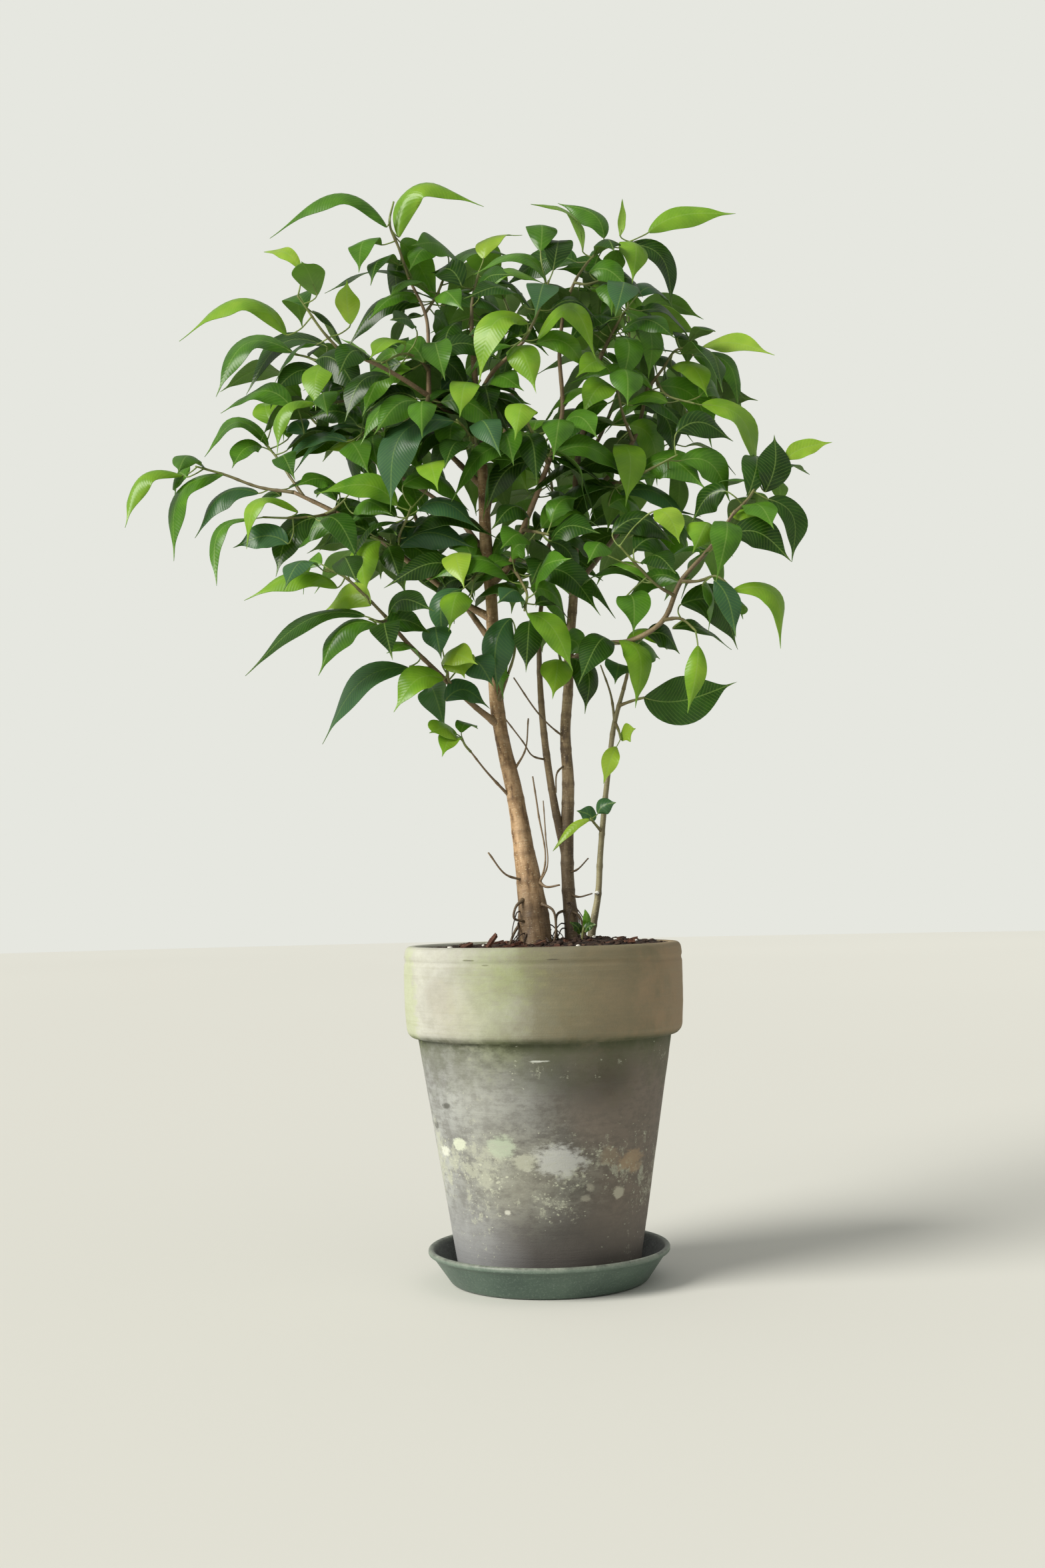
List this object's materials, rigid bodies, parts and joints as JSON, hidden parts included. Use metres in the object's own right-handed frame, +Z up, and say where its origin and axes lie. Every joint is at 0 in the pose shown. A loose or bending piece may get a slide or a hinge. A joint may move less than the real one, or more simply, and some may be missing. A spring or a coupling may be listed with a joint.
{
  "type": "potted weeping fig",
  "caption": "Young weeping fig with three leaning stems and a loose crown of arching, drip-tipped leaves, in a weathered clay pot on a flared saucer.",
  "frame": {"origin": "centre of the saucer's flat underside, where the plant stands on a floor or shelf", "axes": "+Z up along the pot's axis; -Y is the front that was pictured, with the longest limb reaching to -X"},
  "size_m": [0.4668, 0.2689, 0.7227],
  "materials": {
    "clay": "weathered matt clay with lime bloom and algae tint",
    "saucer_plastic": "moulded dark green plastic, satin",
    "potting_soil": "dark crumbly soil with bark chips",
    "tan_bark": "smooth tan bark with pale specks and rings",
    "brown_bark": "brown bark, faintly ringed",
    "grey_bark": "grey tan bark",
    "leaf": "glossy green leaf, paler underneath",
    "young_leaf": "glossy yellow-green young leaf"
  },
  "bodies": {
    "root": {"saucer": "saucer_plastic", "pot": "clay", "soil": "potting_soil", "main_trunk": "tan_bark", "side_stem": "brown_bark", "thin_stem": "grey_bark", "spray_top_left": "leaf", "spray_top_crest": "leaf", "spray_trunk_top": "leaf", "spray_middle_top": "leaf", "spray_right_top": "leaf", "spray_side_top": "leaf", "spray_right_arm": "leaf", "spray_inner_right": "leaf", "spray_right_middle": "leaf", "spray_hanging": "leaf", "spray_right_tip": "leaf", "spray_right_elbow": "leaf", "spray_right_low": "leaf", "spray_right_shade": "leaf", "spray_thin_top": "leaf", "spray_thin_side": "leaf", "spray_thin_young": "young_leaf", "spray_thin_low": "young_leaf", "spray_side_low": "leaf", "spray_heart": "leaf", "spray_heart_side": "leaf", "spray_low_twig": "young_leaf", "spray_low_left": "leaf", "spray_low_cluster": "leaf", "spray_left_fan": "leaf", "spray_left_low_tip": "leaf", "spray_left_curtain": "leaf", "spray_left_shelf": "leaf", "spray_left_tip": "leaf", "spray_left_rise": "leaf", "spray_mid_left_tip": "leaf", "spray_mid_left_low": "leaf", "spray_mid_shelf": "leaf", "spray_high_left_tip": "leaf", "spray_high_left_inner": "leaf", "spray_left_face": "leaf", "spray_nose": "leaf", "spray_face": "leaf", "spray_left_heart": "leaf", "spray_trunk_face": "leaf", "spray_trunk_low": "leaf", "spray_centre": "leaf", "spray_back_1": "leaf", "spray_back_2": "leaf", "spray_back_3": "leaf", "spray_back_4": "leaf", "spray_back_5": "leaf", "spray_back_6": "leaf", "spray_back_7": "leaf", "spray_back_8": "leaf", "spray_back_9": "leaf", "spray_back_10": "leaf", "seedling": "young_leaf"}
  },
  "joints": []
}
